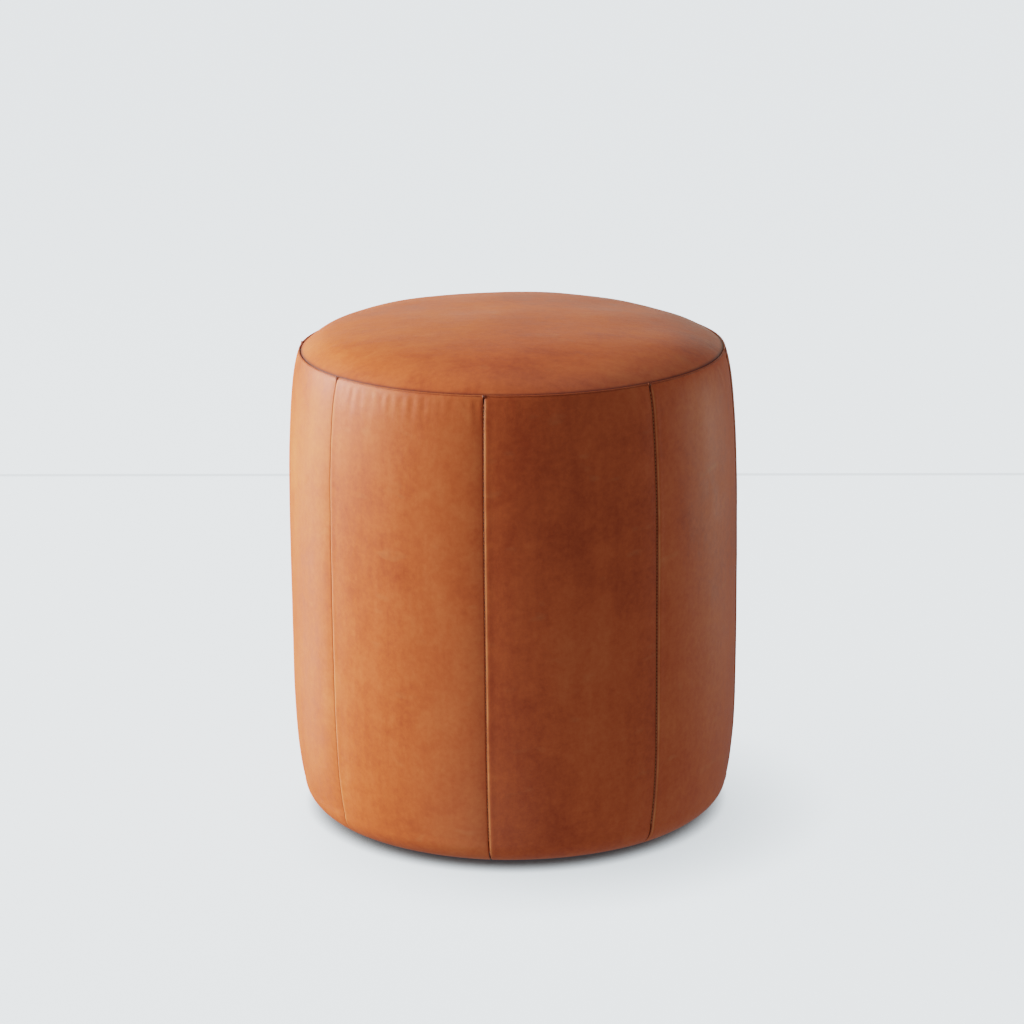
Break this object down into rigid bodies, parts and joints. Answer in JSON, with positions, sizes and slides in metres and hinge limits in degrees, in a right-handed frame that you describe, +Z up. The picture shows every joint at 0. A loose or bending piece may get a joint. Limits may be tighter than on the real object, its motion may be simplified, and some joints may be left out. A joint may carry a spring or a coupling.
{
  "type": "leather drum pouf",
  "caption": "Round upholstered drum pouf for sitting on or resting feet: crowned leather seat, plain panelled leather side, hidden wooden frame and low glides.",
  "frame": {"origin": "on the floor under the middle of the drum", "axes": "+Z up, -Y is the front that the picture is taken from, +X to its right"},
  "size_m": [0.406, 0.406, 0.457],
  "materials": {
    "cover_leather": "satin",
    "seam_thread": "matte",
    "wadding": "matte",
    "foam": "matte",
    "plywood": "matte",
    "post_wood": "matte",
    "bent_board": "matte",
    "staple_wire": "satin",
    "screw_metal": "satin",
    "dust_cloth": "matte",
    "glide_plastic": "satin"
  },
  "bodies": {
    "root": {"top_panel": "cover_leather", "side_panel_1": "cover_leather", "side_panel_2": "cover_leather", "side_panel_3": "cover_leather", "side_panel_4": "cover_leather", "side_panel_5": "cover_leather", "side_panel_6": "cover_leather", "side_panel_7": "cover_leather", "side_panel_8": "cover_leather", "top_seam_thread": "seam_thread", "side_seam_threads": "seam_thread", "seat_batting": "wadding", "side_batting": "wadding", "seat_foam": "foam", "side_foam": "foam", "seat_board": "plywood", "mid_ring": "plywood", "base_board": "plywood", "post_1": "post_wood", "post_2": "post_wood", "post_3": "post_wood", "post_4": "post_wood", "post_5": "post_wood", "post_6": "post_wood", "shell_board": "bent_board", "shell_staples": "staple_wire", "seat_screws": "screw_metal", "base_screws": "screw_metal", "leather_staples": "staple_wire", "dust_cover": "dust_cloth", "dust_cover_staples": "staple_wire", "glide_1": "glide_plastic", "glide_2": "glide_plastic", "glide_3": "glide_plastic", "glide_4": "glide_plastic", "glide_5": "glide_plastic", "glide_6": "glide_plastic", "glide_screws": "screw_metal"}
  },
  "joints": []
}
